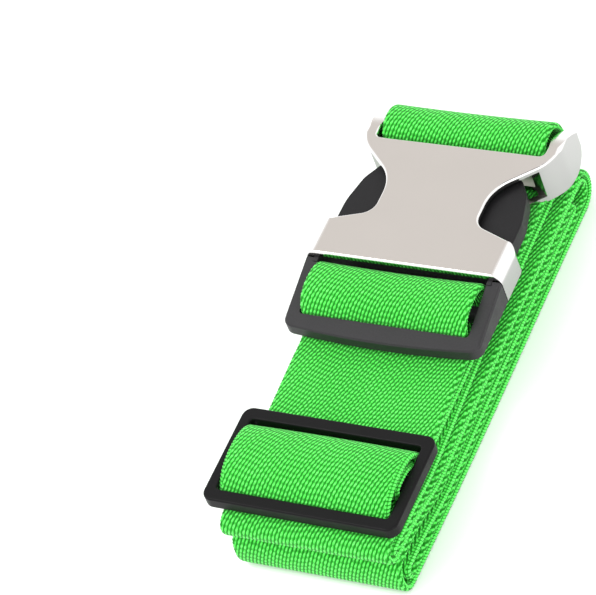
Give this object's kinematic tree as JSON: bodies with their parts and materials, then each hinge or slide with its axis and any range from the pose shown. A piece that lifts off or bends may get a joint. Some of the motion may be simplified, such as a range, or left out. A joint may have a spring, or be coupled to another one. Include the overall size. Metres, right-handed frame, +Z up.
{
  "type": "luggage strap",
  "caption": "Wide webbing strap folded into a flat bundle, closed by a metal side release buckle and fitted with a slider for length.",
  "frame": {"origin": "under the middle of the folded bundle, on the surface it rests on", "axes": "+Z up, X across the webbing, +Y along the webbing from the slider towards the female buckle's bar"},
  "size_m": [0.0588, 0.1414, 0.0331],
  "materials": {
    "webbing": "woven polyester webbing, bright green",
    "thread": "sewing thread, bright green",
    "shell_metal": "satin nickel plate with polished edges",
    "bar_steel": "plain steel rod",
    "black_plastic": "moulded acetal, satin black"
  },
  "bodies": {
    "folded_strap": {"webbing_layer_1": "webbing", "webbing_layer_2": "webbing", "webbing_layer_3": "webbing", "webbing_layer_4": "webbing", "webbing_layer_5": "webbing", "webbing_layer_6": "webbing", "webbing_layer_7": "webbing", "webbing_return_leg": "webbing", "webbing_top_run": "webbing", "rear_fold_outer": "webbing", "rear_fold_inner": "webbing", "rear_hairpin_fold": "webbing", "front_upper_fold_outer": "webbing", "front_upper_fold_inner": "webbing", "front_lower_fold_outer": "webbing", "front_lower_fold_inner": "webbing", "webbing_male_loop": "webbing", "male_frame": "black_plastic", "male_web_bar": "black_plastic", "male_guide_tongue": "black_plastic"},
    "female_buckle": {"female_shell": "shell_metal", "female_web_bar": "bar_steel", "female_webbing_loop": "webbing", "female_webbing_leg": "webbing", "female_webbing_tail": "webbing", "female_stitching": "thread"},
    "left_arm": {"left_release_arm": "black_plastic"},
    "right_arm": {"right_release_arm": "black_plastic"},
    "slider": {"slider_frame": "black_plastic", "slider_web_bar": "black_plastic", "slider_webbing_arch": "webbing", "slider_sewn_end": "webbing", "slider_stitching": "thread"}
  },
  "joints": [
    {"name": "buckle_release", "type": "slide", "parent": "folded_strap", "child": "female_buckle", "axis": [0, 1, 0], "range_m": [0, 0.036]},
    {"name": "left_arm_flex", "type": "hinge", "parent": "folded_strap", "child": "left_arm", "pos_m": [-0.0195, 0.0205, 0.027], "axis": [0, 0, -1], "range_deg": [0, 8], "stiffness_Nm_per_rad": 0.8},
    {"name": "right_arm_flex", "type": "hinge", "parent": "folded_strap", "child": "right_arm", "pos_m": [0.0195, 0.0205, 0.027], "axis": [0, 0, 1], "range_deg": [0, 8], "stiffness_Nm_per_rad": 0.8},
    {"name": "slider_travel", "type": "slide", "parent": "folded_strap", "child": "slider", "axis": [0, 1, 0], "range_m": [0, 0.018]}
  ]
}
